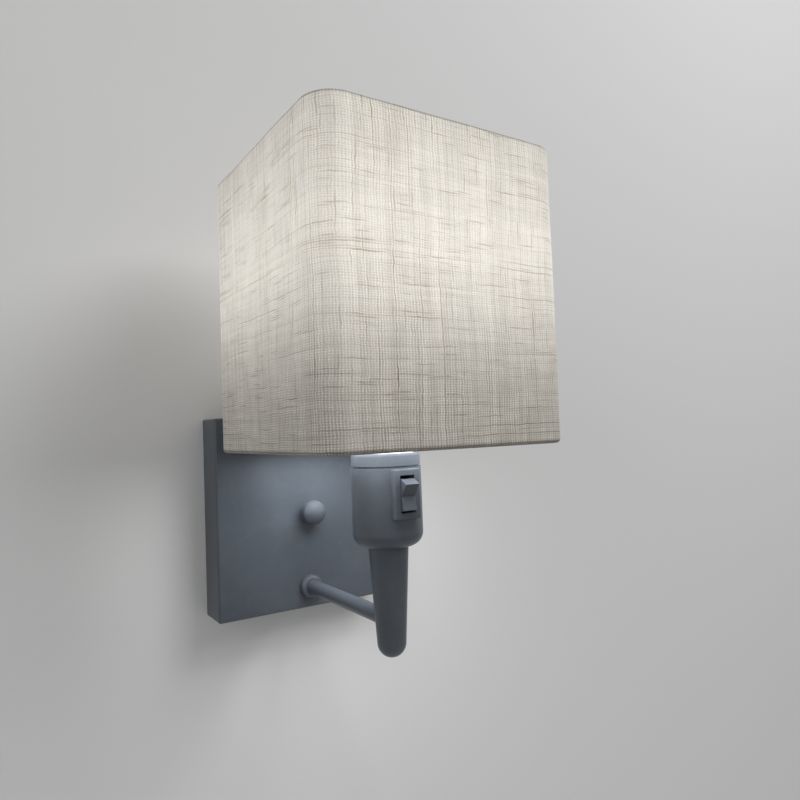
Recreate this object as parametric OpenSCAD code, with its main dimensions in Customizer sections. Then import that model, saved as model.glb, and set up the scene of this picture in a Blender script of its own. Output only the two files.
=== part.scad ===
// Wall sconce. A back plate hangs on a wall bracket and carries a straight arm.
// The arm carries a tapered tail, a switch cup, a lamp holder and a square fabric shade.
// The wall is the plane y = 0, the front is -Y, +X is to the right and +Z is up.
// The origin is the middle of the back plate, on the wall.

/* [Back plate] */
// Width of the back plate
plate_w = 116; // [106:1:160]
// Height of the back plate
plate_h = 120; // [106:1:160]
// Depth of the back plate from the wall
plate_depth = 24; // [22:0.5:25]
// Sheet thickness of the back plate
plate_wall = 1.2; // [0.8:0.1:2]
// Rounding of the back plate's edges and corners
plate_edge_r = 1.2; // [0.5:0.1:2]

/* [Wall bracket] */
// Length of the bracket's strap
bracket_len = 96; // [90:1:114]
// Height of the bracket's strap
bracket_h = 20; // [16:1:26]
// Sheet thickness of the bracket
bracket_t = 2; // [1.5:0.1:3]
// Distance between the middles of the two wall screw slots
slot_spacing = 70; // [56:1:76]
// Length of a wall screw slot from end to end
slot_len = 12; // [8:0.5:16]
// Width of a wall screw slot
slot_w = 4.6; // [3.5:0.1:6]
// Distance from the bracket's middle to the earth screw
earth_x = 20; // [16:0.5:22]

/* [Terminal block] */
// Width of the terminal block
block_w = 22; // [20:0.5:28]
// Depth of the terminal block
block_d = 13; // [12:0.5:16]
// Height of the terminal block
block_h = 20; // [16:0.5:24]
// Distance between the block's two poles
pole_pitch = 12; // [11:0.5:13]
// Outer diameter of a brass clamp in the block
clamp_d = 6; // [5:0.1:7]

/* [Stud and knob] */
// Thread diameter of the stud that holds the back plate
stud_d = 6; // [5:0.5:7]
// Distance across the flats of the stud's lock nut
stud_nut_af = 10; // [9:0.5:13]
// Thickness of the stud's lock nut
stud_nut_t = 4; // [3:0.5:5]
// Diameter of the knob's domed head
knob_d = 14.6; // [12:0.2:18]
// Length of the knob from the plate to the top of its dome
knob_len = 14.5; // [13:0.5:18]
// Diameter of the knob's neck
knob_neck_d = 9.6; // [8.6:0.2:12]
// Length of the knob's neck
knob_neck_len = 5; // [3:0.5:7]

/* [Arm] */
// Distance from the wall to the lamp's upright axis
reach = 120; // [114:1:150]
// Distance of the arm below the middle of the back plate
arm_drop = 46.5; // [42:0.5:50]
// Outer diameter of the arm tube
arm_d = 8.6; // [7.6:0.1:9.6]
// Bore of the arm tube
arm_bore_d = 5.8; // [5.4:0.1:6.6]
// Diameter of the collar where the arm meets the back plate
collar_d = 14.2; // [14:0.2:20]
// Length of the collar
collar_len = 5; // [4:0.5:10]
// Distance across the flats of the arm's nut behind the plate
arm_nut_af = 13; // [12:0.5:15]
// Thickness of the arm's nut
arm_nut_t = 4; // [3:0.5:5]
// Thickness of the earth tag under the arm's nut
tag_t = 0.8; // [0.5:0.1:1.2]

/* [Tail] */
// Diameter of the tail under the cup
tail_top_d = 20.6; // [18:0.2:24]
// Diameter of the tail's round end
tail_end_d = 14.8; // [14:0.2:18]
// Length of the tail
tail_len = 56; // [52:1:75]

/* [Switch cup] */
// Outer diameter of the cup
cup_d = 36; // [34:0.5:42]
// Height of the cup
cup_h = 40; // [40:1:46]
// Wall thickness of the cup
cup_wall = 1.4; // [1:0.1:2]
// Radius of the round shoulder at the foot of the cup
shoulder_r = 7; // [5:0.5:8.5]
// Height of the cup's rim above the middle of the back plate
cup_rim_z = 31; // [27:0.5:38]
// Diameter of the lid on the cup
lid_d = 35.4; // [34.4:0.2:36]
// Height of the lid above the cup's rim
lid_h = 7; // [6:0.5:10]
// Thickness of the lid's top
lid_t = 1.5; // [1:0.1:2.5]
// Outer diameter of the threaded tubes that hold the tail and the lamp holder
pipe_d = 10; // [9:0.5:11]
// Bore of the threaded tubes
pipe_bore_d = 6.6; // [6:0.1:7]
// Distance across the flats of the nuts on the threaded tubes
pipe_nut_af = 14; // [13:0.5:16]
// Thickness of the nuts on the threaded tubes
pipe_nut_t = 3; // [2.5:0.5:4]

/* [Switch] */
// Distance of the switch's middle below the cup's rim
switch_drop = 12.8; // [12.6:0.1:15]
// Width of the switch's flat pad
pad_w = 15; // [15:0.5:21]
// Height of the switch's flat pad
pad_h = 24.5; // [24:0.5:28]
// How far the pad's face stands in front of the cup
pad_proud = 1.8; // [1.2:0.1:2.6]
// Rounding of the pad's edges
pad_edge_r = 0.8; // [0.4:0.1:1.2]
// Width of the rocker
rocker_w = 7.8; // [7.6:0.2:10]
// Height of the rocker at its widest
rocker_h = 16; // [15.6:0.2:17.6]
// Height between the rocker's two raised edges
rocker_edge_h = 13; // [12:0.5:15]
// How far the rocker's raised edges stand in front of its valley
rocker_rise = 3; // [2:0.2:4]
// Angle through which the rocker turns
rocker_throw = 22; // [16:1:24]
// Diameter of the rocker's pin
rocker_pin_d = 2; // [1.6:0.1:2.2]
// Wall of the housing behind the pad
housing_wall = 1.5; // [1.1:0.1:1.8]
// Share of the rocker's angle that the seesaw contact makes
contact_ratio = 0.72; // [0.5:0.02:0.8]

/* [Lamp holder] */
// Outer diameter of the lamp holder's foot
holder_d = 29; // [28.4:0.2:33]
// Height of the lamp holder's foot
holder_foot_h = 20; // [18:0.5:24]
// Wall thickness of the lamp holder
holder_wall = 1.6; // [1.2:0.1:2]
// Outer diameter of the lamp holder's threaded sleeve
sleeve_d = 27.6; // [26.6:0.2:28]
// Height of the threaded sleeve
sleeve_h = 32; // [29:0.5:40]
// Diameter of the flange that the shade rests on
flange_d = 35; // [33:0.5:38]
// Thickness of that flange
flange_t = 2.2; // [1.5:0.1:3]
// Bore of the brass screw shell
shell_bore_d = 14.8; // [14.6:0.1:15.4]
// Height of the screw shell
shell_h = 22; // [18:0.5:24]
// Diameter of the ring that clamps the shade
clamp_ring_d = 41; // [38:0.5:43]
// Height of the clamping ring
clamp_ring_h = 6; // [4:0.5:9]

/* [Bulb] */
// Diameter of the bulb's globe
bulb_d = 45; // [42:0.5:50]
// Length of the bulb from its contact to the top of the globe
bulb_len = 82; // [76:1:95]
// Diameter of the bulb's screw cap
cap_d = 13.8; // [13.4:0.1:13.9]
// Length of the bulb's screw cap
cap_len = 22; // [20:0.5:24]
// Wall thickness of the globe
globe_wall = 1; // [0.6:0.1:2]

/* [Shade] */
// Side of the square shade
shade_side = 133; // [124:1:138]
// Height of the shade
shade_h = 144; // [120:1:180]
// Radius of the shade's corners
shade_corner_r = 15; // [10:0.5:30]
// Height of the shade's lower edge above the cup's rim
shade_lift = 9.5; // [4:0.5:16]
// Thickness of the fabric with its lining
fabric_t = 0.8; // [0.5:0.1:1.2]
// Diameter of the wire rings in the shade's hems
ring_wire_d = 2; // [1.6:0.1:3]
// Diameter of the wire spokes
spoke_d = 3; // [2.4:0.1:4]
// Outer diameter of the flat ring that the spokes are welded to
fitter_d = 48; // [45.5:0.5:56]
// Thickness of that flat ring
fitter_t = 1.2; // [0.8:0.1:2]

/* [Wires] */
// Diameter of an insulated wire
wire_d = 1.9; // [1.4:0.1:2.1]

/* [Hidden] */
$fn = 64;

// Clearances: threads and seated pieces, pieces that turn, and pieces that pass freely
seat_gap = 0.05;
turn_gap = 0.06;
free_gap = 0.3;
// Extra length of a cut past the faces it opens
over = 1;

// Back plate and bracket
plate_inner_y = -(plate_depth - plate_wall);
tab_margin = 3;
tab_w = block_w + 2 * tab_margin;
block_gap = 5;
block_z = bracket_h / 2 + block_gap;
block_y = -bracket_t;
pole_x = pole_pitch / 2;
pole_y = block_y - block_d / 2;
clamp_wall = 1.2;
clamp_inset = 2;
clamp_screw_d = 2.6;
fixing_screw_d = 3;
earth_screw_d = 4;
earth_washer_d = 9;
earth_washer_t = 1;
screw_head_ratio = 1.9;
screw_head_share = 0.6;

// Stud and knob
stud_grip = 8;
stud_end_y = -(plate_depth + stud_grip);
knob_edge = 5.5;
knob_dome_h = knob_len - knob_neck_len - knob_edge;
knob_dome_r = (knob_d * knob_d / 4 + knob_dome_h * knob_dome_h) / (2 * knob_dome_h);

// Arm
axis_y = -reach;
arm_z = -arm_drop;
arm_r = arm_d / 2;
tag_d = arm_nut_af / cos(30) + 1;
tag_tab_w = 5;
tag_tab_len = 8;
arm_tail_out = 2;
arm_rear_y = plate_inner_y + tag_t + arm_nut_t + arm_tail_out;
collar_edge_r = 2.5;

// Tail and the two threaded tubes
cup_floor_z = cup_rim_z - cup_h;
cup_r = cup_d / 2;
tail_end_z = cup_floor_z - tail_len;
tail_top_r = tail_top_d / 2;
tail_end_r = tail_end_d / 2;
tail_taper = atan((tail_top_r - tail_end_r) / (tail_len - tail_end_r));
tail_end_steps = 12;
pipe_r = pipe_d / 2;
tail_pipe_depth = 14;
tail_pipe_top_z = cup_floor_z + cup_wall + pipe_nut_t + 2;
tail_bore_r = pipe_bore_d / 2;
arm_front_y = axis_y + tail_bore_r + free_gap;

// Cup lid
lid_top_z = cup_rim_z + lid_h;
spigot_h = 4;
spigot_wall = 1.2;
spigot_r = cup_r - cup_wall - seat_gap;
lid_inner_r = spigot_r - spigot_wall;
lid_edge_r = 1.5;
seam_h = 0.8;
seam_r = spigot_r + 0.4;
lid_pipe_low_z = lid_top_z - lid_t - pipe_nut_t - 5;
foot_floor = 3;
lid_pipe_top_z = lid_top_z + foot_floor + 0.5;

// Switch: depths run from the rocker's pin, positive towards the front
switch_z = cup_rim_z - switch_drop;
pin_depth = 4;
pin_r = rocker_pin_d / 2;
pad_y = axis_y - cup_r - pad_proud;
pin_y = pad_y + pin_depth;
rest_tilt = rocker_throw / 2;
valley_depth = pin_depth + 0.4;
edge_depth = valley_depth + rocker_rise;
widest_depth = 3;
heel_depth = -1;
heel_h = rocker_h - 1;
hub_r = 2.6;
rocker_swing = norm([rocker_h / 2, widest_depth]);
opening_w = rocker_w + 2 * free_gap;
opening_h = 2 * rocker_swing + 4 * free_gap;
housing_w = opening_w + 2 * housing_wall;
housing_h = opening_h + 2 * housing_wall;
stem_r = 2.1;
stem_depth = -5;
spring_bore_r = 1.35;
spring_top_depth = -(pin_r + turn_gap + 0.6);
plunger_r = 1.2;
plunger_seat_depth = -4.3;
plunger_body = 0.4;
plunger_tip_depth = plunger_seat_depth - plunger_body - plunger_r;
spring_wire_d = 0.3;
spring_r = spring_bore_r - spring_wire_d / 2 - 0.2;
spring_turns = 3;
spring_steps = 8;
spring_low_depth = plunger_seat_depth + spring_wire_d / 2 + 0.02;
spring_high_depth = spring_top_depth - spring_wire_d / 2 - 0.02;
contact_t = 0.8;
contact_w = 3.6;
contact_len = 12.6;
contact_axis_depth = plunger_tip_depth - 0.25 - contact_t;
contact_tilt = contact_ratio * rest_tilt;
post_w = 4;
post_t = 1;
ridge_r = post_t / 2;
load_offset = 5.2;
load_top_depth = contact_axis_depth - load_offset * sin(contact_tilt) - free_gap;
base_in_depth = contact_axis_depth - 2.25;
base_t = 1.6;
tab_out = 1.5;
base_out_y = pin_y - (base_in_depth - base_t);
tab_end_y = base_out_y + tab_out;

// Lamp holder, from the lid upwards
core_h = 12;
core_sunk = 8;
core_low_z = lid_top_z + holder_foot_h - core_sunk;
core_top_z = core_low_z + core_h;
sleeve_low_z = lid_top_z + holder_foot_h;
sleeve_r = sleeve_d / 2;
core_r = min(holder_d / 2, sleeve_r) - holder_wall - 2 * seat_gap;
sleeve_throat_r = core_r - 2;
shell_wall = 0.5;
shell_r = shell_bore_d / 2 + shell_wall;
shell_flange_r = shell_r + 2;
leaf_t = 0.5;
leaf_w = 5;
leaf_len = 7;
leaf_h = 4;
rivet_d = 3;
terminal_x = 5.5;
terminal_w = 5;
terminal_h = 3;
terminal_low_z = core_low_z - terminal_h;
flange_top_z = sleeve_low_z + flange_t;
fitter_low_z = flange_top_z + seat_gap;
fitter_top_z = fitter_low_z + fitter_t;
fitter_bore_r = sleeve_r + free_gap;
clamp_ring_low_z = fitter_top_z + seat_gap;
grip_count = 18;
grip_r = 1;

// Bulb
bulb_low_z = core_top_z + leaf_h + seat_gap;
bulb_r = bulb_d / 2;
bulb_top_z = bulb_low_z + bulb_len;
globe_z = bulb_top_z - bulb_r;
globe_cut = 9;
globe_cut_z = globe_z - globe_cut;
globe_cut_r = sqrt(bulb_r * bulb_r - globe_cut * globe_cut);
tip_r = 2.4;
tip_t = 0.8;
insulator_h = 2.7;
insulator_r = 5.6;
cap_low_z = bulb_low_z + tip_t + insulator_h;
cap_top_z = cap_low_z + cap_len;
cap_r = cap_d / 2;
cap_thread_pitch = 2.82;
cap_thread_depth = 0.6;
cap_threads = 5;
body_neck_r = cap_r + 1.4;

// Shade
shade_low_z = cup_rim_z + shade_lift;
shade_top_z = shade_low_z + shade_h;
shade_half = shade_side / 2;
ring_wire_r = ring_wire_d / 2;
wire_fit = 0.1;
roll_r = ring_wire_r + wire_fit + fabric_t;
spoke_in_r = clamp_ring_d / 2 + spoke_d / 2 + free_gap;
spoke_in_z = fitter_low_z + fitter_t / 2;
spoke_out_r = shade_half - roll_r;
spoke_out_z = shade_low_z + roll_r;
spoke_run = spoke_out_r - spoke_in_r;
spoke_fall = spoke_in_z - spoke_out_z;

// Wires: two lie side by side in the bores, and each corner is cut back to make a bend
wire_r = wire_d / 2;
wire_side = wire_r + 0.25;
wire_bend = 3;
bend_steps = 4;
wire_sides = 8;
wire_out_x = stud_nut_af / 2 / cos(30) + wire_r + 1;
wire_turn_y = arm_rear_y + 5;
wire_free_y = axis_y + 4;

// The way from the terminal block to the top of the tail's threaded tube, on side s of the middle
function supply_route(s) = [
    [s * pole_x, pole_y, block_z + clamp_inset + 3],
    [s * pole_x, pole_y, block_z - 4],
    [s * wire_out_x, pole_y, 2],
    [s * wire_out_x, pole_y, arm_z + 20],
    [s * wire_side, wire_turn_y, arm_z + 10],
    [s * wire_side, wire_turn_y, arm_z],
    [s * wire_side, axis_y, arm_z],
    [s * wire_side, axis_y, tail_pipe_top_z + 2]
];
line_route = concat(supply_route(-1), [
    [-wire_side, wire_free_y, switch_z - 8],
    [0, wire_free_y, switch_z],
    [0, tab_end_y, switch_z]
]);
// The way from inside the cup to a terminal of the lamp holder
function holder_route(s) = [
    [s * wire_side, axis_y, lid_pipe_low_z + 4],
    [s * wire_side, axis_y, lid_pipe_top_z + 2],
    [s * terminal_x, axis_y, terminal_low_z - 2.5],
    [s * terminal_x, axis_y, terminal_low_z]
];
neutral_route = concat(supply_route(1), [
    [7, wire_free_y + 1, switch_z - 10],
    [7, wire_free_y + 1, switch_z],
    [wire_side, axis_y, lid_pipe_low_z - 1]
], holder_route(1));
switched_route = concat([
    [0, tab_end_y, switch_z + load_offset],
    [0, axis_y, switch_z + load_offset]
], holder_route(-1));
earth_lead_y = -(bracket_t + wire_r + seat_gap);
tag_lead_y = plate_inner_y + tag_t + wire_r + seat_gap;
earth_route = [
    [-earth_x, earth_lead_y, -earth_washer_d / 2 - seat_gap],
    [-earth_x, earth_lead_y, -bracket_h / 2],
    [-earth_x + 2, tag_lead_y, arm_z + 12],
    [-earth_x + 2, tag_lead_y, arm_z],
    [-tag_d / 2 - 1, tag_lead_y, arm_z]
];

// Colours
paint = [0.72, 0.75, 0.78];
zinc = [0.66, 0.66, 0.64];
brass = [0.78, 0.6, 0.28];
white_plastic = [0.9, 0.9, 0.88];
grey_plastic = [0.7, 0.73, 0.76];
linen = [0.86, 0.82, 0.72];

// Turns an upright shape so that its +Z points to the front
module facing_front() {
    rotate([90, 0, 0]) children();
}

// Draws a flat outline given as [y, z] across a width along X
module across(width) {
    rotate([90, 0, 90]) linear_extrude(width, center = true) children();
}

// Places a shape on the lamp's upright axis
module on_axis() {
    translate([0, axis_y, 0]) children();
}

// A rectangle with round corners
module rounded_rect(w, h, r) {
    square([w - 2 * r, h], center = true);
    square([w, h - 2 * r], center = true);
    for (sx = [-1, 1], sy = [-1, 1])
        translate([sx * (w / 2 - r), sy * (h / 2 - r)]) circle(r);
}

// A side view of a slab whose two front corners are round
module front_rounded(depth, h, r) {
    translate([r - depth, -h / 2]) square([depth - r, h]);
    translate([-depth, r - h / 2]) square([depth, h - 2 * r]);
    for (s = [-1, 1])
        translate([r - depth, s * (h / 2 - r)]) circle(r);
}

// A slab from y = 0 to the front, with round corners and a round front edge
module rounded_slab(w, h, depth, r) {
    intersection() {
        facing_front() linear_extrude(depth) rounded_rect(w, h, r);
        across(w + 2 * over) front_rounded(depth, h, r);
        linear_extrude(h + 2 * over, center = true) rotate(90) front_rounded(depth, w, r);
    }
}

// A round tube
module tube(h, r_out, r_in) {
    difference() {
        cylinder(r = r_out, h = h);
        translate([0, 0, -over]) cylinder(r = r_in, h = h + 2 * over);
    }
}

// A hexagon nut
module hex_nut(af, h, bore_d) {
    difference() {
        cylinder(d = af / cos(30), h = h, $fn = 6);
        translate([0, 0, -over]) cylinder(d = bore_d + 2 * seat_gap, h = h + 2 * over);
    }
}

// A slot-headed screw whose head stands on z = 0 and whose shank runs down
module slotted_screw(d, shank) {
    head_h = d * screw_head_share;
    slot_h = head_h / 2;
    difference() {
        union() {
            cylinder(d = d * screw_head_ratio, h = head_h);
            translate([0, 0, -shank]) cylinder(d = d, h = shank + head_h / 2);
        }
        translate([0, 0, head_h]) cube([3 * d, d / 5, 2 * slot_h], center = true);
    }
}

// The outline of a cup of height h, which leaves out the part past the axis
module cup_outline(r, h, round_r) {
    square([r - round_r, h]);
    translate([0, round_r]) square([r, h - round_r]);
    translate([r - round_r, round_r]) circle(round_r);
}

// Carries a flat profile round a square with round corners
module square_sweep(half, r) {
    for (a = [0 : 90 : 270]) rotate([0, 0, a]) {
        translate([half, 0, 0]) facing_front() linear_extrude(2 * (half - r), center = true) children();
        translate([half - r, half - r, 0]) rotate_extrude(angle = 90) translate([r, 0]) children();
    }
}

// Places a shape at the rocker's pin, with the front at -Y, turned as the switch stands when it is on
module at_rocker() {
    translate([0, pin_y, switch_z]) rotate([rest_tilt, 0, 0]) children();
}

// Points a shape's +Z to the front at a depth from the rocker's pin
module at_depth(depth) {
    translate([0, -depth, 0]) facing_front() children();
}

// A swept tube, made of rings of points
function unit(v) = v / norm(v);
function heading(p, i) = unit(p[min(i + 1, len(p) - 1)] - p[max(i - 1, 0)]);
function tube_ring(centre, ahead, ref, r, sides) =
    let (a = unit(cross(ref, ahead)), b = cross(ahead, a))
    [for (k = [0 : sides - 1]) centre + r * (cos(360 * k / sides) * a + sin(360 * k / sides) * b)];
function tube_faces(rings, sides) = concat(
    [for (i = [0 : rings - 2], k = [0 : sides - 1])
        let (a = i * sides + k, b = i * sides + (k + 1) % sides)
        each [[a, b + sides, b], [a, a + sides, b + sides]]],
    [for (k = [1 : sides - 2]) [0, k, k + 1]],
    [for (k = [1 : sides - 2], e = (rings - 1) * sides) [e, e + k + 1, e + k]]
);
module tube_along(p, ref, r, sides) {
    polyhedron(
        points = [for (i = [0 : len(p) - 1]) each tube_ring(p[i], heading(p, i), ref, r, sides)],
        faces = tube_faces(len(p), sides)
    );
}

// A route whose corners are cut back and rounded
function bend_point(a, b, c, u) = (1 - u) * (1 - u) * a + 2 * u * (1 - u) * b + u * u * c;
function bend_reach(p, i) = min(wire_bend, 0.49 * norm(p[i] - p[i - 1]), 0.49 * norm(p[i + 1] - p[i]));
function bend_at(p, i) =
    let (
        cut = bend_reach(p, i),
        a = p[i] + cut * unit(p[i - 1] - p[i]),
        c = p[i] + cut * unit(p[i + 1] - p[i])
    )
    [for (k = [0 : bend_steps]) bend_point(a, p[i], c, k / bend_steps)];
function bent_route(p) = [
    p[0],
    for (i = [1 : len(p) - 2]) each bend_at(p, i),
    p[len(p) - 1]
];
module wire(route, ref) {
    tube_along(bent_route(route), ref, wire_r, wire_sides);
}

// Steel strap on the wall, with two screw slots and an upright tab for the terminal block
module wall_bracket() {
    slot_run = slot_len - slot_w;
    cut_t = bracket_t + 2 * over;
    color(zinc) difference() {
        union() {
            facing_front() linear_extrude(bracket_t) rounded_rect(bracket_len, bracket_h, 2);
            translate([-tab_w / 2, -bracket_t, 0]) cube([tab_w, bracket_t, block_z + block_h]);
        }
        for (s = [-1, 1]) translate([s * slot_spacing / 2, over, 0]) facing_front() {
            for (e = [-1, 1])
                translate([e * slot_run / 2, 0, 0]) cylinder(d = slot_w, h = cut_t);
            translate([-slot_run / 2, -slot_w / 2, 0]) cube([slot_run, slot_w, cut_t]);
        }
        translate([0, over, 0]) facing_front() cylinder(d = stud_d + 2 * seat_gap, h = cut_t);
        translate([0, over, block_z + block_h / 2]) facing_front()
            cylinder(d = fixing_screw_d + 2 * seat_gap, h = cut_t);
        translate([-earth_x, over, 0]) facing_front()
            cylinder(d = earth_screw_d + 2 * seat_gap, h = cut_t);
    }
}

// Threaded stud from the bracket to the knob
module centre_stud() {
    color(zinc) facing_front() cylinder(d = stud_d, h = -stud_end_y);
}

// Nut that locks the stud on the bracket
module stud_nut() {
    color(zinc) translate([0, -bracket_t, 0]) facing_front() hex_nut(stud_nut_af, stud_nut_t, stud_d);
}

// Two-pole block for the house wiring
module terminal_block() {
    color(white_plastic) difference() {
        translate([-block_w / 2, block_y - block_d, block_z]) cube([block_w, block_d, block_h]);
        for (s = [-1, 1]) {
            translate([s * pole_x, pole_y, block_z - over])
                cylinder(d = clamp_d + 2 * seat_gap, h = block_h + 2 * over);
            for (e = [-1, 1]) translate([s * pole_x, pole_y, block_z + block_h / 2 + e * block_h / 4])
                facing_front() cylinder(d = clamp_screw_d * screw_head_ratio + 2 * free_gap, h = block_d);
        }
        translate([0, block_y + over, block_z + block_h / 2]) facing_front()
            cylinder(d = fixing_screw_d + 2 * seat_gap, h = block_d + 2 * over);
    }
}

// Brass clamps inside the block, one for each pole
module terminal_clamps() {
    color(brass) for (s = [-1, 1]) difference() {
        translate([s * pole_x, pole_y, block_z + clamp_inset])
            cylinder(d = clamp_d, h = block_h - 2 * clamp_inset);
        translate([s * pole_x, pole_y, block_z]) cylinder(d = clamp_d - 2 * clamp_wall, h = block_h);
        for (e = [-1, 1]) translate([s * pole_x, pole_y, block_z + block_h / 2 + e * block_h / 4])
            facing_front() cylinder(d = clamp_screw_d + 2 * seat_gap, h = clamp_d);
    }
}

// The four screws that grip the house wires
module terminal_screws() {
    color(zinc) for (s = [-1, 1], e = [-1, 1])
        translate([s * pole_x, pole_y - clamp_d / 2 - seat_gap, block_z + block_h / 2 + e * block_h / 4])
            facing_front() slotted_screw(clamp_screw_d, clamp_wall);
}

// Screw that holds the block on the bracket's tab
module block_screw() {
    color(zinc) translate([0, block_y - block_d, block_z + block_h / 2]) facing_front()
        slotted_screw(fixing_screw_d, block_d + bracket_t);
}

// Earth screw with its clamping washer
module earth_screw() {
    color(brass) translate([-earth_x, -bracket_t, 0]) facing_front() {
        cylinder(d = earth_washer_d, h = earth_washer_t);
        translate([0, 0, earth_washer_t]) slotted_screw(earth_screw_d, bracket_t + earth_washer_t);
    }
}

// Pressed steel pan that covers the bracket and carries the arm
module back_plate() {
    inner_w = plate_w - 2 * plate_wall;
    inner_h = plate_h - 2 * plate_wall;
    color(paint) difference() {
        rounded_slab(plate_w, plate_h, plate_depth, plate_edge_r);
        translate([-inner_w / 2, plate_inner_y, -inner_h / 2]) cube([inner_w, plate_depth, inner_h]);
        translate([0, plate_inner_y + over, 0]) facing_front()
            cylinder(d = stud_d + 2 * free_gap, h = plate_wall + 2 * over);
        translate([0, plate_inner_y + over, arm_z]) facing_front()
            cylinder(d = arm_d + 2 * seat_gap, h = plate_wall + 2 * over);
    }
}

// Domed cap nut that pulls the back plate to the wall
module knob() {
    color(paint) translate([0, -plate_depth, 0]) facing_front() difference() {
        union() {
            cylinder(d = knob_neck_d, h = knob_neck_len);
            translate([0, 0, knob_neck_len]) cylinder(d = knob_d, h = knob_edge);
            translate([0, 0, knob_neck_len + knob_edge]) intersection() {
                translate([0, 0, knob_dome_h - knob_dome_r]) sphere(knob_dome_r);
                cylinder(d = knob_d, h = knob_dome_h + over);
            }
        }
        translate([0, 0, -over]) cylinder(d = stud_d + 2 * seat_gap, h = stud_grip + 0.5 + over);
    }
}

// Straight tube from the back plate to the tail
module arm_tube() {
    color(paint) translate([0, arm_rear_y, arm_z]) facing_front()
        tube(arm_rear_y - arm_front_y, arm_r, arm_bore_d / 2);
}

// Round collar that the arm's nut pulls against the plate
module arm_collar() {
    color(paint) translate([0, -plate_depth, arm_z]) facing_front() rotate_extrude() difference() {
        union() {
            square([collar_d / 2, collar_len - collar_edge_r]);
            square([collar_d / 2 - collar_edge_r, collar_len]);
            translate([collar_d / 2 - collar_edge_r, collar_len - collar_edge_r]) circle(collar_edge_r);
        }
        translate([0, -over]) square([arm_r + seat_gap, collar_len + 2 * over]);
    }
}

// Ring tag that earths the plate and the arm, trimmed flat where it would meet the plate's rim
module earth_tag() {
    rim_drop = plate_h / 2 - plate_wall - seat_gap - arm_drop;
    color(brass) translate([0, plate_inner_y + tag_t, arm_z]) facing_front() difference() {
        union() {
            cylinder(d = tag_d, h = tag_t);
            translate([-tag_d / 2 - tag_tab_len, -tag_tab_w / 2, 0])
                cube([tag_tab_len + tag_d / 2, tag_tab_w, tag_t]);
        }
        translate([0, 0, -over]) cylinder(d = arm_d + 2 * seat_gap, h = tag_t + 2 * over);
        translate([-tag_d, -rim_drop - tag_d, -over]) cube([2 * tag_d, tag_d, tag_t + 2 * over]);
    }
}

// Nut on the arm's threaded end behind the plate
module arm_nut() {
    color(zinc) translate([0, plate_inner_y + tag_t + arm_nut_t, arm_z]) facing_front()
        hex_nut(arm_nut_af, arm_nut_t, arm_d);
}

// Turned tail with a round end, drilled for the arm and the wires
module tail() {
    end_z = tail_end_z + tail_end_r;
    round_end = [
        for (i = [0 : tail_end_steps]) let (a = (90 - tail_taper) * i / tail_end_steps - 90)
            [tail_end_r * cos(a), end_z + tail_end_r * sin(a)]
    ];
    color(paint) on_axis() difference() {
        rotate_extrude() polygon(concat(round_end, [[tail_top_r, cup_floor_z], [0, cup_floor_z]]));
        translate([0, 0, cup_floor_z - tail_pipe_depth])
            cylinder(r = pipe_r + seat_gap, h = tail_pipe_depth + over);
        translate([0, 0, arm_z - tail_bore_r]) cylinder(r = tail_bore_r, h = cup_floor_z - arm_z);
        translate([0, tail_top_r + over, arm_z]) facing_front()
            cylinder(r = arm_r + seat_gap, h = tail_top_r + over);
    }
}

// Threaded tube that joins the tail to the cup
module tail_pipe() {
    low_z = cup_floor_z - tail_pipe_depth;
    color(zinc) translate([0, axis_y, low_z]) tube(tail_pipe_top_z - low_z, pipe_r, pipe_bore_d / 2);
}

// Nut inside the cup, on the tail's threaded tube
module tail_nut() {
    color(zinc) translate([0, axis_y, cup_floor_z + cup_wall]) hex_nut(pipe_nut_af, pipe_nut_t, pipe_d);
}

// Drawn metal cup that holds the switch
module cup() {
    cut_w = housing_w + 2 * free_gap;
    cut_h = housing_h + 2 * free_gap;
    color(paint) on_axis() difference() {
        translate([0, 0, cup_floor_z]) rotate_extrude() difference() {
            intersection() {
                cup_outline(cup_r, cup_h, shoulder_r);
                square([cup_r, cup_h]);
            }
            translate([0, cup_wall]) intersection() {
                cup_outline(cup_r - cup_wall, cup_h, shoulder_r - cup_wall);
                square([cup_r, cup_h]);
            }
        }
        translate([0, 0, cup_floor_z - over]) cylinder(r = pipe_r + seat_gap, h = cup_wall + 2 * over);
        translate([-cut_w / 2, -cup_r - over, switch_z - cut_h / 2]) cube([cut_w, cup_r, cut_h]);
    }
}

// Lid that closes the cup and carries the lamp holder
module cup_lid() {
    lid_r = lid_d / 2;
    notch_w = housing_w + 2 * free_gap;
    color(paint) on_axis() difference() {
        union() {
            translate([0, 0, cup_rim_z]) rotate_extrude() {
                square([seam_r, lid_h - lid_edge_r]);
                translate([0, seam_h]) square([lid_r, lid_h - lid_edge_r - seam_h]);
                square([lid_r - lid_edge_r, lid_h]);
                translate([lid_r - lid_edge_r, lid_h - lid_edge_r]) circle(lid_edge_r);
            }
            translate([0, 0, cup_rim_z - spigot_h]) cylinder(r = spigot_r, h = spigot_h + over);
        }
        translate([0, 0, cup_rim_z - spigot_h - over])
            cylinder(r = lid_inner_r, h = spigot_h + lid_h - lid_t + over);
        cylinder(r = pipe_r + seat_gap, h = lid_top_z + over);
        translate([-notch_w / 2, -cup_r, cup_rim_z - spigot_h - over])
            cube([notch_w, cup_r, spigot_h + over]);
    }
}

// Threaded tube that joins the lid to the lamp holder
module lid_pipe() {
    color(zinc) translate([0, axis_y, lid_pipe_low_z])
        tube(lid_pipe_top_z - lid_pipe_low_z, pipe_r, pipe_bore_d / 2);
}

// Nut under the lid
module lid_nut() {
    color(zinc) translate([0, axis_y, lid_top_z - lid_t - pipe_nut_t])
        hex_nut(pipe_nut_af, pipe_nut_t, pipe_d);
}

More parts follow.
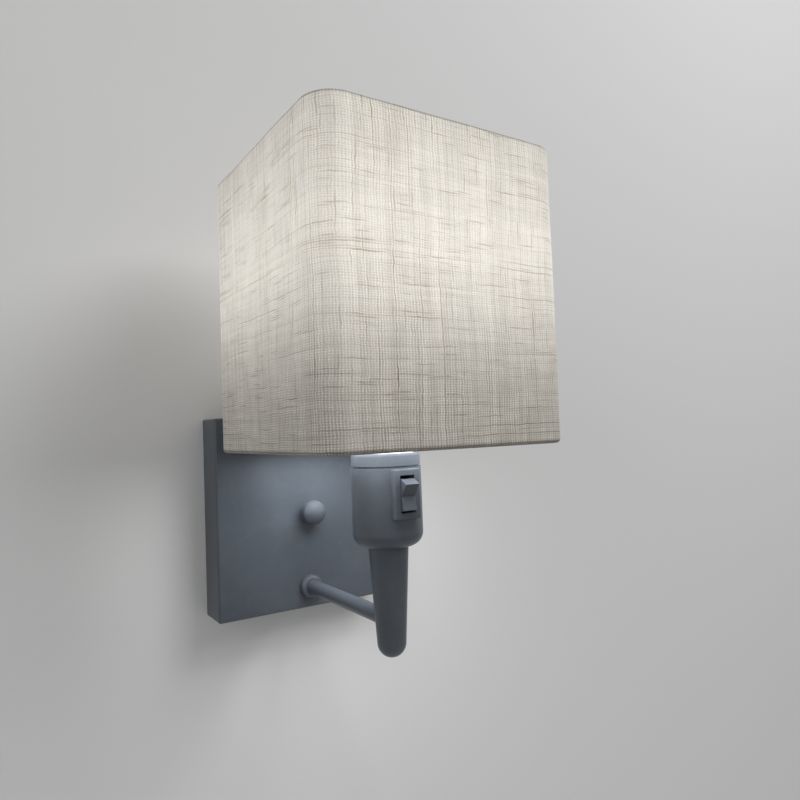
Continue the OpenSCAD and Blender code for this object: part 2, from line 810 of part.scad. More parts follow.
// Switch pad with the housing that carries the rocker
module switch_frame() {
    pad_back_y = axis_y - cup_r / 2;
    housing_depth = base_out_y - base_t - pad_y;
    color(grey_plastic) difference() {
        union() {
            difference() {
                translate([0, pad_back_y, switch_z])
                    rounded_slab(pad_w, pad_h, pad_back_y - pad_y, pad_edge_r);
                translate([0, axis_y, switch_z - pad_h]) cylinder(r = cup_r + seat_gap, h = 2 * pad_h);
            }
            translate([0, pad_y + housing_depth, switch_z]) facing_front()
                linear_extrude(housing_depth - pad_edge_r) square([housing_w, housing_h], center = true);
        }
        translate([0, base_out_y, switch_z]) facing_front()
            linear_extrude(housing_depth + base_t + over) square([opening_w, opening_h], center = true);
        translate([0, pin_y, switch_z]) rotate([0, 90, 0])
            cylinder(r = pin_r + seat_gap, h = housing_w + 2 * over, center = true);
    }
}

// Plate that closes the housing and holds the two terminals
module switch_base() {
    color(white_plastic) difference() {
        translate([0, base_out_y, switch_z]) facing_front()
            linear_extrude(base_t) square([housing_w, housing_h], center = true);
        for (z = [0, load_offset]) translate([0, base_out_y + over, switch_z + z]) facing_front()
            linear_extrude(base_t + 2 * over)
                square([post_w + 2 * seat_gap, post_t + 2 * seat_gap], center = true);
    }
}

// A terminal from its top in the housing to its soldering tab in the cup
module terminal_post(top_depth, offset) {
    top_y = pin_y - top_depth;
    translate([0, tab_end_y, switch_z + offset]) facing_front()
        linear_extrude(tab_end_y - top_y) square([post_w, post_t], center = true);
}

// Terminal with the ridge that the seesaw contact rocks on
module common_terminal() {
    color(brass) {
        terminal_post(contact_axis_depth, 0);
        translate([0, pin_y - contact_axis_depth, switch_z]) rotate([0, 90, 0])
            cylinder(r = ridge_r, h = post_w, center = true);
    }
}

// Terminal that the seesaw contact meets when the switch is on
module load_terminal() {
    color(brass) terminal_post(load_top_depth, load_offset);
}

// Contact strip that rocks on the common terminal's ridge
module seesaw_contact() {
    color(brass) translate([0, pin_y - contact_axis_depth, switch_z]) rotate([-contact_tilt, 0, 0])
        difference() {
            facing_front() linear_extrude(contact_t) square([contact_w, contact_len], center = true);
            rotate([0, 90, 0]) cylinder(r = ridge_r + turn_gap, h = post_w + 2 * over, center = true);
        }
}

// Rocker with a valley between two raised edges and a stem for the plunger
module rocker() {
    color(grey_plastic) at_rocker() difference() {
        union() {
            across(rocker_w) polygon([
                [-edge_depth, rocker_edge_h / 2],
                [-widest_depth, rocker_h / 2],
                [-heel_depth, heel_h / 2],
                [-heel_depth, -heel_h / 2],
                [-widest_depth, -rocker_h / 2],
                [-edge_depth, -rocker_edge_h / 2],
                [-valley_depth, 0]
            ]);
            rotate([0, 90, 0]) cylinder(r = hub_r, h = rocker_w, center = true);
            at_depth(stem_depth) cylinder(r = stem_r, h = -stem_depth);
        }
        rotate([0, 90, 0]) cylinder(r = pin_r + turn_gap, h = rocker_w + 2 * over, center = true);
        at_depth(stem_depth - over) cylinder(r = spring_bore_r, h = spring_top_depth - stem_depth + over);
    }
}

// Steel pin that the rocker turns on
module rocker_pin() {
    color(zinc) translate([0, pin_y, switch_z]) rotate([0, 90, 0])
        cylinder(r = pin_r, h = housing_w, center = true);
}

// Plunger that slides over the seesaw contact
module plunger() {
    color(white_plastic) at_rocker() at_depth(plunger_tip_depth) intersection() {
        cylinder(r = plunger_r, h = plunger_r + plunger_body);
        union() {
            translate([0, 0, plunger_r]) sphere(plunger_r);
            translate([0, 0, plunger_r]) cylinder(r = plunger_r, h = plunger_body);
        }
    }
}

// The coil of the plunger's spring and its least gap between turns
spring_points = [
    for (i = [0 : spring_turns * spring_steps])
        let (turn = 360 * i / spring_steps, u = i / (spring_turns * spring_steps))
        [
            spring_r * cos(turn),
            -(spring_low_depth + u * (spring_high_depth - spring_low_depth)),
            spring_r * sin(turn)
        ]
];
spring_gap = min([
    for (i = [0 : len(spring_points) - 1], j = [i + spring_steps - 2 : 1 : len(spring_points) - 1])
        norm(spring_points[i] - spring_points[j])
]) - spring_wire_d;
echo(spring_gap = spring_gap);

// Spring behind the plunger
module plunger_spring() {
    color(zinc) at_rocker() tube_along(spring_points, [0, 1, 0], spring_wire_d / 2, 6);
}

// Foot of the lamp holder, screwed on the lid's threaded tube
module holder_foot() {
    color(white_plastic) translate([0, axis_y, lid_top_z]) difference() {
        cylinder(d = holder_d, h = holder_foot_h);
        translate([0, 0, foot_floor]) cylinder(r = core_r + seat_gap, h = holder_foot_h);
        translate([0, 0, -over]) cylinder(r = pipe_r + seat_gap, h = foot_floor + 2 * over);
    }
}

// Insulating core that carries the lamp holder's contacts
module holder_core() {
    color(white_plastic) translate([0, axis_y, core_low_z]) difference() {
        cylinder(r = core_r, h = core_h);
        translate([0, 0, -over]) cylinder(d = rivet_d + 2 * seat_gap, h = core_h + 2 * over);
    }
}

// Two brass terminals under the core
module holder_terminals() {
    color(brass) for (s = [-1, 1])
        translate([s * terminal_x - terminal_w / 2, axis_y - terminal_w / 2, terminal_low_z])
            cube([terminal_w, terminal_w, terminal_h]);
}

// Brass shell that the bulb screws into
module screw_shell() {
    color(brass) translate([0, axis_y, core_top_z]) difference() {
        union() {
            cylinder(r = shell_r, h = shell_h);
            cylinder(r = shell_flange_r, h = shell_wall);
        }
        translate([0, 0, -over]) cylinder(d = shell_bore_d, h = shell_h + 2 * over);
    }
}

// Bent leaf that presses on the bulb's middle contact, with its rivet
module centre_contact() {
    color(brass) translate([0, axis_y, core_top_z]) {
        translate([-leaf_w / 2, -leaf_len / 2, 0]) cube([leaf_w, leaf_len, leaf_t]);
        translate([-leaf_w / 2, leaf_len / 2 - leaf_t, 0]) cube([leaf_w, leaf_t, leaf_h]);
        translate([-leaf_w / 2, -leaf_len / 2, leaf_h - leaf_t]) cube([leaf_w, leaf_len, leaf_t]);
        translate([0, 0, -core_h]) cylinder(d = rivet_d, h = core_h + leaf_t);
    }
}

// Threaded sleeve with the flange that the shade rests on
module holder_sleeve() {
    core_room = core_top_z + shell_wall + free_gap - sleeve_low_z;
    color(white_plastic) translate([0, axis_y, sleeve_low_z]) difference() {
        union() {
            cylinder(r = sleeve_r, h = sleeve_h);
            cylinder(d = flange_d, h = flange_t);
        }
        translate([0, 0, -over]) cylinder(r = core_r + seat_gap, h = core_room + over);
        cylinder(r = sleeve_throat_r, h = sleeve_h + over);
    }
}

// Threaded ring with finger grips that clamps the shade on the flange
module shade_clamp_ring() {
    color(white_plastic) translate([0, axis_y, clamp_ring_low_z]) difference() {
        tube(clamp_ring_h, clamp_ring_d / 2, sleeve_r + seat_gap);
        for (k = [0 : grip_count - 1]) rotate([0, 0, 360 * k / grip_count])
            translate([clamp_ring_d / 2, 0, -over]) cylinder(r = grip_r, h = clamp_ring_h + 2 * over);
    }
}

// The four spokes from the flat ring out to the lower wire
module spokes(d) {
    spoke_len = norm([spoke_run, spoke_fall]);
    for (a = [0 : 90 : 270]) rotate([0, 0, a])
        translate([spoke_in_r, 0, spoke_in_z]) rotate([0, 90 + atan(spoke_fall / spoke_run), 0])
            cylinder(d = d, h = spoke_len);
}

// A wire ring in the shade's hem, at a height
module hem_wire(z) {
    translate([0, 0, z]) square_sweep(shade_half - roll_r, shade_corner_r - roll_r) circle(ring_wire_r);
}

// Welded wire frame: flat ring, spokes and lower wire ring
module shade_frame() {
    color(zinc) on_axis() {
        translate([0, 0, fitter_low_z]) tube(fitter_t, fitter_d / 2, fitter_bore_r);
        spokes(spoke_d);
        hem_wire(spoke_out_z);
    }
}

// Wire ring in the shade's upper hem
module shade_top_wire() {
    color(zinc) on_axis() hem_wire(shade_top_z - roll_r);
}

// Lined fabric, rolled round the wires at both edges and notched for the spokes
module shade_fabric() {
    color(linen) on_axis() difference() {
        translate([0, 0, shade_low_z]) square_sweep(shade_half, shade_corner_r) {
            union() {
                translate([-fabric_t, roll_r]) square([fabric_t, shade_h - 2 * roll_r]);
                for (z = [roll_r, shade_h - roll_r]) translate([-roll_r, z]) difference() {
                    circle(roll_r);
                    circle(roll_r - fabric_t);
                }
            }
        }
        spokes(spoke_d + 2 * free_gap);
    }
}

// Middle contact at the foot of the bulb
module bulb_contact() {
    color(zinc) translate([0, axis_y, bulb_low_z]) cylinder(r = tip_r, h = tip_t);
}

// Dark insulator between the contact and the screw cap
module bulb_insulator() {
    color([0.08, 0.08, 0.09]) translate([0, axis_y, bulb_low_z + tip_t])
        cylinder(r1 = tip_r + 0.6, r2 = insulator_r, h = insulator_h);
}

// Screw cap with its rolled thread
module bulb_cap() {
    thread_low = 2.4;
    color(zinc) translate([0, axis_y, cap_low_z]) difference() {
        cylinder(r = cap_r, h = cap_len);
        for (k = [0 : cap_threads - 1]) translate([0, 0, thread_low + k * cap_thread_pitch])
            rotate_extrude() translate([cap_r + cap_thread_depth, 0]) circle(2 * cap_thread_depth);
    }
}

// Plastic body that flares from the cap to the globe
module bulb_body() {
    flare_h = globe_cut_z - cap_top_z;
    flare_w = globe_cut_r - body_neck_r;
    flare_r = (flare_h * flare_h + flare_w * flare_w) / (2 * flare_w);
    color(white_plastic) translate([0, axis_y, cap_top_z]) rotate_extrude() difference() {
        square([globe_cut_r, flare_h]);
        translate([body_neck_r + flare_r, 0]) circle(flare_r, $fn = 128);
    }
}

// Opal globe, open where it sits on the body
module bulb_globe() {
    color([0.98, 0.97, 0.93]) translate([0, axis_y, globe_z]) intersection() {
        difference() {
            sphere(bulb_r);
            sphere(bulb_r - globe_wall);
        }
        translate([0, 0, -globe_cut]) cylinder(r = bulb_r + over, h = 2 * bulb_r);
    }
}

// Brown supply wire, from the block to the switch
module line_wire() {
    color([0.4, 0.24, 0.14]) wire(line_route, [1, 0, 0]);
}

// Blue supply wire, from the block to the lamp holder
module neutral_wire() {
    color([0.16, 0.3, 0.6]) wire(neutral_route, [0.2, 1, 0.1]);
}

// Black wire, from the switch to the lamp holder
module switched_wire() {
    color([0.1, 0.1, 0.1]) wire(switched_route, [1, 0, 0]);
}

// Green and yellow wire, from the bracket to the earth tag
module earth_wire() {
    color([0.35, 0.6, 0.2]) wire(earth_route, [0.2, 1, 0.1]);
}

wall_bracket();
centre_stud();
stud_nut();
terminal_block();
terminal_clamps();
terminal_screws();
block_screw();
earth_screw();
back_plate();
knob();
arm_tube();
arm_collar();
earth_tag();
arm_nut();
tail();
tail_pipe();
tail_nut();
cup();
cup_lid();
lid_pipe();
lid_nut();
switch_frame();
switch_base();
common_terminal();
load_terminal();
seesaw_contact();
rocker();
rocker_pin();
plunger();
plunger_spring();
holder_foot();
holder_core();
holder_terminals();
screw_shell();
centre_contact();
holder_sleeve();
shade_clamp_ring();
shade_frame();
shade_top_wire();
shade_fabric();
bulb_contact();
bulb_insulator();
bulb_cap();
bulb_body();
bulb_globe();
line_wire();
neutral_wire();
switched_wire();
earth_wire();
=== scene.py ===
import math

import bpy
from mathutils import Matrix, Vector


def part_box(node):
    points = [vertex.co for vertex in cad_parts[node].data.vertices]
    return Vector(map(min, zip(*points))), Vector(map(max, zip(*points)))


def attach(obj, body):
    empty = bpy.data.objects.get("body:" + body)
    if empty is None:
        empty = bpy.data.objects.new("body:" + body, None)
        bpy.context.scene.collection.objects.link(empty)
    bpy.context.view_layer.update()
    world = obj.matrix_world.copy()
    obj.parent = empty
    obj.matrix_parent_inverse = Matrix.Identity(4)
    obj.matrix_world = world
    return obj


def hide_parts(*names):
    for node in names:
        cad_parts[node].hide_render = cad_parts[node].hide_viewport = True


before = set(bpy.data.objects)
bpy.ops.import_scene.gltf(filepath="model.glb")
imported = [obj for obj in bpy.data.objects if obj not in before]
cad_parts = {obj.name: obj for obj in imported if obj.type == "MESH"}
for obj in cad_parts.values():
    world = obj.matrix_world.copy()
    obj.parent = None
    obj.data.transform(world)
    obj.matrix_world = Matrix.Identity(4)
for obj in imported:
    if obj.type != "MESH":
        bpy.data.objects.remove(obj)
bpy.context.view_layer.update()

# Wall bracket with its stud, nuts, screws and threaded tubes, and small steel pieces of switch and bulb.
# Pressed, turned and wound steel with a bright zinc plating, which dries in faint cloudy patches.
# The bracket is screwed to the wall and everything else hangs on it.


class Tone:
    """One socket of a finish, so that shader maths reads as plain sums."""

    def __init__(self, socket):
        self.socket = socket

    def node(self, kind, settings, sockets, out=0):
        tree = self.socket.id_data
        made = tree.nodes.new(kind)
        for name, value in settings.items():
            setattr(made, name, value)
        for name, value in sockets.items():
            if isinstance(value, Tone):
                tree.links.new(value.socket, made.inputs[name])
            else:
                made.inputs[name].default_value = value
        return Tone(made.outputs[out])

    def math(self, operation, a, b=0.0):
        return self.node("ShaderNodeMath", {"operation": operation}, {0: a, 1: b})

    def through(self, operation):
        return self.math(operation, self)

    def axis(self, name):
        return self.node("ShaderNodeSeparateXYZ", {}, {"Vector": self}, name)

    def __add__(self, other):
        return self.math("ADD", self, other)

    __radd__ = __add__

    def __sub__(self, other):
        return self.math("SUBTRACT", self, other)

    def __rsub__(self, other):
        return self.math("SUBTRACT", other, self)

    def __mul__(self, other):
        return self.math("MULTIPLY", self, other)

    __rmul__ = __mul__

    def __truediv__(self, other):
        return self.math("DIVIDE", self, other)

    def __rtruediv__(self, other):
        return self.math("DIVIDE", other, self)

    def __pow__(self, other):
        return self.math("POWER", self, other)

    def noise(self, scale, detail=2.0, dimensions="3D"):
        sockets = {"Vector": self, "Scale": scale, "Detail": detail}
        return self.node("ShaderNodeTexNoise", {"noise_dimensions": dimensions}, sockets)

    def step(self, low, high):
        sockets = {"Value": self, "From Min": low, "From Max": high}
        return self.node("ShaderNodeMapRange", {"interpolation_type": "SMOOTHSTEP"}, sockets)

    def between(self, a, b):
        sockets = {0: self, 6: a, 7: b}
        return self.node("ShaderNodeMix", {"data_type": "RGBA"}, sockets, 2)

    def bump(self, depth, strength):
        sockets = {"Height": self, "Distance": depth, "Strength": strength}
        return self.node("ShaderNodeBump", {}, sockets)

    def into(self, shader, name):
        self.socket.id_data.links.new(self.socket, shader.inputs[name])


def new_finish(name):
    """A new material, its surface shader, and the place on the piece that patterns are read at."""
    material = bpy.data.materials.new(name)
    material.use_nodes = True
    shader = material.node_tree.nodes["Principled BSDF"]
    coordinates = material.node_tree.nodes.new("ShaderNodeTexCoord")
    return material, shader, Tone(coordinates.outputs["Object"])


def dress(finish, *names):
    """Gives the frame's own pieces a finish, with round faces shaded round."""
    crease = math.radians(32)
    for name in names:
        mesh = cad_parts[name].data
        mesh.materials.clear()
        mesh.materials.append(finish)
        mesh.shade_smooth()
        mesh.set_sharp_from_angle(angle=crease)


dull_zinc = (0.44, 0.45, 0.46, 1)
bright_zinc = (0.60, 0.60, 0.59, 1)
zinc, shader, place = new_finish("zinc_plating")
clouds = place.noise(160, 4)
scuffs = place.noise(1400, 3)
clouds.step(0.35, 0.7).between(dull_zinc, bright_zinc).into(shader, "Base Color")
(0.24 + 0.2 * clouds + 0.12 * scuffs).into(shader, "Roughness")
scuffs.bump(0.00008, 0.25).into(shader, "Normal")
shader.inputs["Metallic"].default_value = 1.0
dress(zinc, "wall_bracket", "centre_stud", "stud_nut", "terminal_screws", "block_screw", "arm_nut")
dress(zinc, "tail_pipe", "tail_nut", "lid_pipe", "lid_nut", "rocker_pin", "plunger_spring", "bulb_contact")

# Terminal block, switch base and plunger, lamp holder with its clamp ring, and the bulb's body.
# Moulded in matte white plastic, which leaves a faint eggshell grain and slight flow marks.
# The block is screwed to the bracket's tab; the holder screws on the lid's threaded tube.

shaded_white = (0.70, 0.70, 0.68, 1)
plain_white = (0.80, 0.80, 0.775, 1)
moulding, shader, place = new_finish("white_moulding")
flow = place.noise(90, 3)
grain = place.noise(5200, 2)
flow.step(0.3, 0.75).between(shaded_white, plain_white).into(shader, "Base Color")
(0.42 + 0.16 * grain).into(shader, "Roughness")
grain.bump(0.00005, 0.2).into(shader, "Normal")
dress(moulding, "terminal_block", "switch_base", "plunger", "holder_foot", "holder_core")
dress(moulding, "shade_clamp_ring", "bulb_body")

# Threaded sleeve of the lamp holder, the same plastic with a coarse thread on its outside.
# The shade's ring drops over it on to the flange, and the clamp ring screws down on top.

thread_pitch = 0.0025
thread_depth = 0.0006
full_turn = 2 * math.pi
stem_y = -0.120
threaded, shader, place = new_finish("threaded_moulding")
deep = place.axis("Y") - stem_y
turn = deep.math("ARCTAN2", deep, place.axis("X")) / full_turn
ridge = ((place.axis("Z") / thread_pitch + turn) * full_turn).through("SINE")
flow = place.noise(90, 3)
flow.step(0.3, 0.75).between(shaded_white, plain_white).into(shader, "Base Color")
(0.46 + 0.1 * flow).into(shader, "Roughness")
ridge.bump(thread_depth, 0.7).into(shader, "Normal")
dress(threaded, "holder_sleeve")

# Brass clamps, contacts, terminals, the holder's screw shell, earth screw and earth tag.
# Bare stamped and turned brass, a little tarnished where it has been handled.

clean_brass = (0.72, 0.50, 0.20, 1)
tarnished_brass = (0.42, 0.27, 0.11, 1)
brass, shader, place = new_finish("bare_brass")
tarnish = place.noise(240, 5)
draw = place.noise(2600, 2)
tarnish.step(0.4, 0.72).between(clean_brass, tarnished_brass).into(shader, "Base Color")
(0.22 + 0.3 * tarnish).into(shader, "Roughness")
draw.bump(0.00005, 0.2).into(shader, "Normal")
shader.inputs["Metallic"].default_value = 1.0
dress(brass, "terminal_clamps", "earth_screw", "earth_tag", "common_terminal", "load_terminal")
dress(brass, "seesaw_contact", "holder_terminals", "screw_shell", "centre_contact")

# Back plate, knob, arm with its collar, tail, switch cup and lid: the metal that shows.
# Pressed, drawn and turned steel under a satin cool grey spray paint.
# The coat has a fine orange peel, dries a touch unevenly and gathers dust.

thin_coat = (0.057, 0.068, 0.084, 1)
full_coat = (0.070, 0.083, 0.101, 1)
dusty_coat = (0.094, 0.104, 0.116, 1)
paint, shader, place = new_finish("grey_spray_paint")
peel = place.noise(1500, 2)
uneven = place.noise(30, 3)
dust = place.noise(260, 5)
coat = uneven.step(0.3, 0.7).between(thin_coat, full_coat)
(0.35 * dust.step(0.45, 0.85)).between(coat, dusty_coat).into(shader, "Base Color")
(0.30 + 0.1 * uneven + 0.08 * dust).into(shader, "Roughness")
peel.bump(0.00010, 0.14).into(shader, "Normal")
shader.inputs["Coat Weight"].default_value = 0.15
shader.inputs["Coat Roughness"].default_value = 0.22
dress(paint, "back_plate", "knob", "arm_tube", "arm_collar", "tail", "cup", "cup_lid")

# Switch pad with its rocker, moulded in satin grey plastic to match the paint.
# The pad's housing clips into the cup; the rocker turns on a steel pin inside it.

dark_plastic = (0.064, 0.076, 0.094, 1)
rubbed_plastic = (0.078, 0.091, 0.110, 1)
switch_plastic, shader, place = new_finish("switch_plastic")
spark = place.noise(3800, 3)
rub = place.noise(300, 4)
rub.step(0.35, 0.75).between(dark_plastic, rubbed_plastic).into(shader, "Base Color")
(0.30 + 0.18 * spark).into(shader, "Roughness")
spark.bump(0.00006, 0.3).into(shader, "Normal")
dress(switch_plastic, "switch_frame", "rocker")

# Shade frame: a flat ring, four spokes and a wire round each hem, welded and dipped in white.
# The ring sits between the holder's flange and the clamp ring.

thin_dip = (0.72, 0.72, 0.70, 1)
thick_dip = (0.80, 0.80, 0.78, 1)
dipped, shader, place = new_finish("white_dipped_wire")
drip = place.noise(700, 3)
drip.step(0.3, 0.8).between(thin_dip, thick_dip).into(shader, "Base Color")
(0.3 + 0.2 * drip).into(shader, "Roughness")
drip.bump(0.0001, 0.2).into(shader, "Normal")
dress(dipped, "shade_frame", "shade_top_wire")

# Shade cover: slubbed linen on a pale stiff lining, glued into a band, with the light from inside painted on
# as glow.
# Both edges are rolled round the hem wires, turned in and glued down, with a notch at each spoke.
# The mesh is a thin sheet carried round a square with round corners.

cloth_low, cloth_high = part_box("shade_fabric")
half = (cloth_high.x - cloth_low.x) / 2
middle = (cloth_low + cloth_high) / 2
corner = 0.015
cloth_t = 0.0008
wire_inset = 0.0019
roll_r = 0.0015
roll_start = 230
roll_steps = 10
roll_to_wall = 0.001
tuck_inset = wire_inset - roll_r + 1.06 * cloth_t
tuck_rises = (0.0105, 0.0075, 0.0045)
bend_inset = tuck_inset + 0.0002
bend_rise = 0.0028
notch_half = 0.0021
notch_foot = 2.2 * notch_half
wall_steps = 36
half_columns = 13
corner_columns = 10
cloth_crease = math.radians(50)


def spread_evenly(line, count):
    """The same line with a set number of points, evenly spaced along it."""
    walked = [0.0]
    for a, b in zip(line, line[1:]):
        walked.append(walked[-1] + math.dist(a, b))
    made = []
    k = 0
    for i in range(count):
        target = walked[-1] * i / (count - 1)
        while k < len(line) - 2 and walked[k + 1] < target:
            k += 1
        share = (target - walked[k]) / (walked[k + 1] - walked[k])
        made.append(tuple(p + (q - p) * share for p, q in zip(line[k], line[k + 1])))
    return made


def sheet_sides(line):
    """The outer and inner faces of a sheet of cloth that follows a line."""
    outer = []
    inner = []
    for i, (inset, z) in enumerate(line):
        before = line[max(i - 1, 0)]
        after = line[min(i + 1, len(line) - 1)]
        run = math.dist(before, after)
        normal = (-(after[1] - before[1]) / run, (after[0] - before[0]) / run)
        outer.append((inset + normal[0] * cloth_t / 2, z + normal[1] * cloth_t / 2))
        inner.append((inset - normal[0] * cloth_t / 2, z - normal[1] * cloth_t / 2))
    return outer, inner


# A hem runs down the inside, round its wire and up to the wall, as insets and heights from the wire.
hem = [(tuck_inset, rise) for rise in tuck_rises]
hem.append((bend_inset, bend_rise))
for i in range(roll_steps + 1):
    turn = math.radians(roll_start - roll_start / roll_steps * i)
    hem.append((wire_inset - roll_r * math.cos(turn), -roll_r * math.sin(turn)))
hem_rows = len(hem)
low_wire = cloth_low.z + wire_inset
high_wire = cloth_high.z - wire_inset
wall_low = low_wire + roll_to_wall
wall_high = high_wire - roll_to_wall
wall_line = [(cloth_t / 2, wall_low + (wall_high - wall_low) * i / wall_steps) for i in range(wall_steps + 1)]
upper_hem = [(inset, high_wire - rise) for inset, rise in reversed(hem)]
lower_hem = [(inset, low_wire + rise) for inset, rise in hem]
cloth_rows = len(hem) + len(wall_line) + len(upper_hem)

# At a notch the cloth ends under the wire, and the rows that would go on inside close up there.
outer_rows = lower_hem[-3:]
cut_edge = lower_hem[-5:-3]
notched_hem = spread_evenly(cut_edge, hem_rows - len(outer_rows)) + outer_rows


def sheet_column(lower):
    """The two faces of one column of the sheet, and each row's place up the flat cloth."""
    line = lower + wall_line + upper_hem
    walked = [0.0]
    for a, b in zip(line, line[1:]):
        walked.append(walked[-1] + math.dist(a, b))
    return *sheet_sides(line), [w - walked[hem_rows] for w in walked]


straight = half - corner
corner_arc = corner * math.pi / 2
beside_notch = straight - notch_foot
marks = [-straight + beside_notch * i / half_columns for i in range(half_columns)]
marks += [-notch_foot, -notch_half, 0.0, notch_half, notch_foot]
marks += [notch_foot + beside_notch * (i + 1) / half_columns for i in range(half_columns)]
plain_column = sheet_column(lower_hem)
notched_column = sheet_column(notched_hem)
columns = []
for side in range(4):
    angle = math.radians(90 * side)
    facing = Vector((math.cos(angle), math.sin(angle), 0))
    along = Vector((-math.sin(angle), math.cos(angle), 0))
    length = side * (2 * straight + corner_arc)
    for mark in marks:
        hub = facing * straight + along * mark
        notched = abs(mark) < notch_foot
        columns.append((hub, facing, length + straight + mark, notched_column if notched else plain_column))
    for i in range(1, corner_columns):
        bend = math.radians(90 / corner_columns * i)
        hub = (facing + along) * straight
        out = facing * math.cos(bend) + along * math.sin(bend)
        columns.append((hub, out, length + 2 * straight + corner * bend, plain_column))
girth = 4 * (2 * straight + corner_arc)

# The glued cloth isn't quite flat: a long and a short wave run round it, in radians to the metre.
long_wave = 0.00012
long_rate = 61
short_wave = 0.0001
short_rate = 173
short_lean = 40
wave_room = 0.0001
points = []
for hub, out, length, (outer, inner, _) in columns:
    for inset, z in outer + inner:
        wave = long_wave * math.sin(long_rate * length)
        wave += short_wave * math.sin(short_rate * length + short_lean * z)
        reach = corner - inset - wave_room + wave
        points.append((middle.x + hub.x + out.x * reach, middle.y + hub.y + out.y * reach, z))

# Each column's outer face, inner face and the two cut edges that close the sheet between them.
faces = []
sides_of_faces = []
flat_places = []
stride = 2 * cloth_rows
for j, (_, _, left, (_, _, left_rows)) in enumerate(columns):
    here = j * stride
    there = (j + 1) % len(columns) * stride
    right = columns[j + 1][2] if j + 1 < len(columns) else girth
    right_rows = columns[(j + 1) % len(columns)][3][2]
    for i in range(cloth_rows - 1):
        corners = [(left, left_rows[i]), (right, right_rows[i])]
        corners += [(right, right_rows[i + 1]), (left, left_rows[i + 1])]
        faces.append((here + i, there + i, there + i + 1, here + i + 1))
        sides_of_faces.append(0)
        flat_places += corners
        a = here + cloth_rows + i
        b = there + cloth_rows + i
        faces.append((b, a, a + 1, b + 1))
        sides_of_faces.append(1)
        flat_places += [corners[k] for k in (1, 0, 3, 2)]
    for i, order in ((0, 1), (cloth_rows - 1, -1)):
        edge = (here + i, here + cloth_rows + i, there + cloth_rows + i, there + i)
        faces.append(edge[::order])
        sides_of_faces.append(0)
        ends = [(left, left_rows[i]), (left, left_rows[i]), (right, right_rows[i]), (right, right_rows[i])]
        flat_places += ends[::order]

cloth_mesh = bpy.data.meshes.new("shade_cover")
cloth_mesh.from_pydata(points, [], faces)
cloth_mesh.polygons.foreach_set("material_index", sides_of_faces)
flat_map = cloth_mesh.uv_layers.new(name="cloth")
for place_on_cloth, loop in zip(flat_places, flat_map.data):
    loop.uv = place_on_cloth
cloth_mesh.shade_smooth()
cloth_mesh.set_sharp_from_angle(angle=cloth_crease)
cloth_mesh.update()
shade_cover = bpy.data.objects.new("shade_cover", cloth_mesh)
bpy.context.scene.collection.objects.link(shade_cover)

warp_pitch = 0.00143
weft_pitch = 0.00104
warp_slub_width = 0.65
weft_slub_width = 1.0
light_height = 0.134
dim_below = 0.040
bright_above = 0.122
low_hem_fade = (cloth_low.z + 0.0010, cloth_low.z + 0.0024)
high_hem_fade = (cloth_high.z - 0.0022, cloth_high.z - 0.0008)
lamp_at = (*middle.xy, light_height)
dark_yarn = (0.32, 0.284, 0.243, 1)
pale_yarn = (0.72, 0.690, 0.634, 1)
slub_brown = (0.12, 0.090, 0.062, 1)
# Painted shade for the two rolled hems, the lower one darker.
top_roll_shade = (0.17, 0.155, 0.135, 1)
low_roll_shade = (0.10, 0.083, 0.066, 1)
no_light = (0, 0, 0, 1)
lamp_warmth = (1.0, 0.970, 0.880, 1)
slub_warmth = (0.86, 0.72, 0.54, 1)
linen, shader, place = new_finish("slubbed_linen")
flat = place.node("ShaderNodeUVMap", {"uv_map": "cloth"}, {})
wobble = flat.noise(260, 2)
fibre = flat.noise(1300, 2)


def yarns(across, along, pitch, slub_width, drift):
    """Threads side by side: the gaps between them, the dark slubs spun in, and each thread's own tone."""
    count = across / pitch + 3.0 * (drift - 0.5) + 0.9 * (wobble - 0.5)
    number = count.through("FLOOR")
    aside = (count - number - 0.5).through("ABSOLUTE") * 2
    own = number.node("ShaderNodeTexWhiteNoise", {"noise_dimensions": "1D"}, {"W": number})
    slow = number.node("ShaderNodeCombineXYZ", {}, {"X": number * 7.31, "Y": along * 11.0})
    quick = number.node("ShaderNodeCombineXYZ", {}, {"X": number * 3.17, "Y": along * 48.0})
    long_slub = own.step(0.62, 1.0) * slow.noise(1.0, 1.0, "2D").step(0.38, 0.66)
    short_slub = quick.noise(1.0, 1.0, "2D").step(0.58, 0.82)
    loose = quick.noise(0.8, 1.0, "2D").step(0.25, 0.75)
    gap = aside.step(0.25, 0.9) * (0.35 + 0.65 * loose)
    thick = 1 - aside.step(0.4 * slub_width, slub_width)
    slub = thick * (0.75 * long_slub + 0.6 * short_slub) * (0.4 + 1.2 * fibre)
    return gap, slub, own


around = flat.axis("X")
upward = flat.axis("Y")
warp_gap, warp_slub, warp_own = yarns(around, upward, warp_pitch, warp_slub_width, flat.noise(21, 2))
weft_gap, weft_slub, weft_own = yarns(upward, around, weft_pitch, weft_slub_width, flat.noise(27, 2))
slub = warp_slub.math("MAXIMUM", warp_slub, weft_slub)
pinhole = warp_gap * weft_gap
open_weave = 0.30 * warp_gap + 0.15 * weft_gap + 0.55 * pinhole
tones = 0.6 * warp_own + 0.4 * weft_own - 0.5
patches = flat.noise(60, 4)
height = place.axis("Z")
apart = place.node("ShaderNodeVectorMath", {"operation": "DISTANCE"}, {0: place, 1: lamp_at}, 1)
in_hem_low = 1 - height.step(*low_hem_fade)
in_hem_high = height.step(*high_hem_fade)
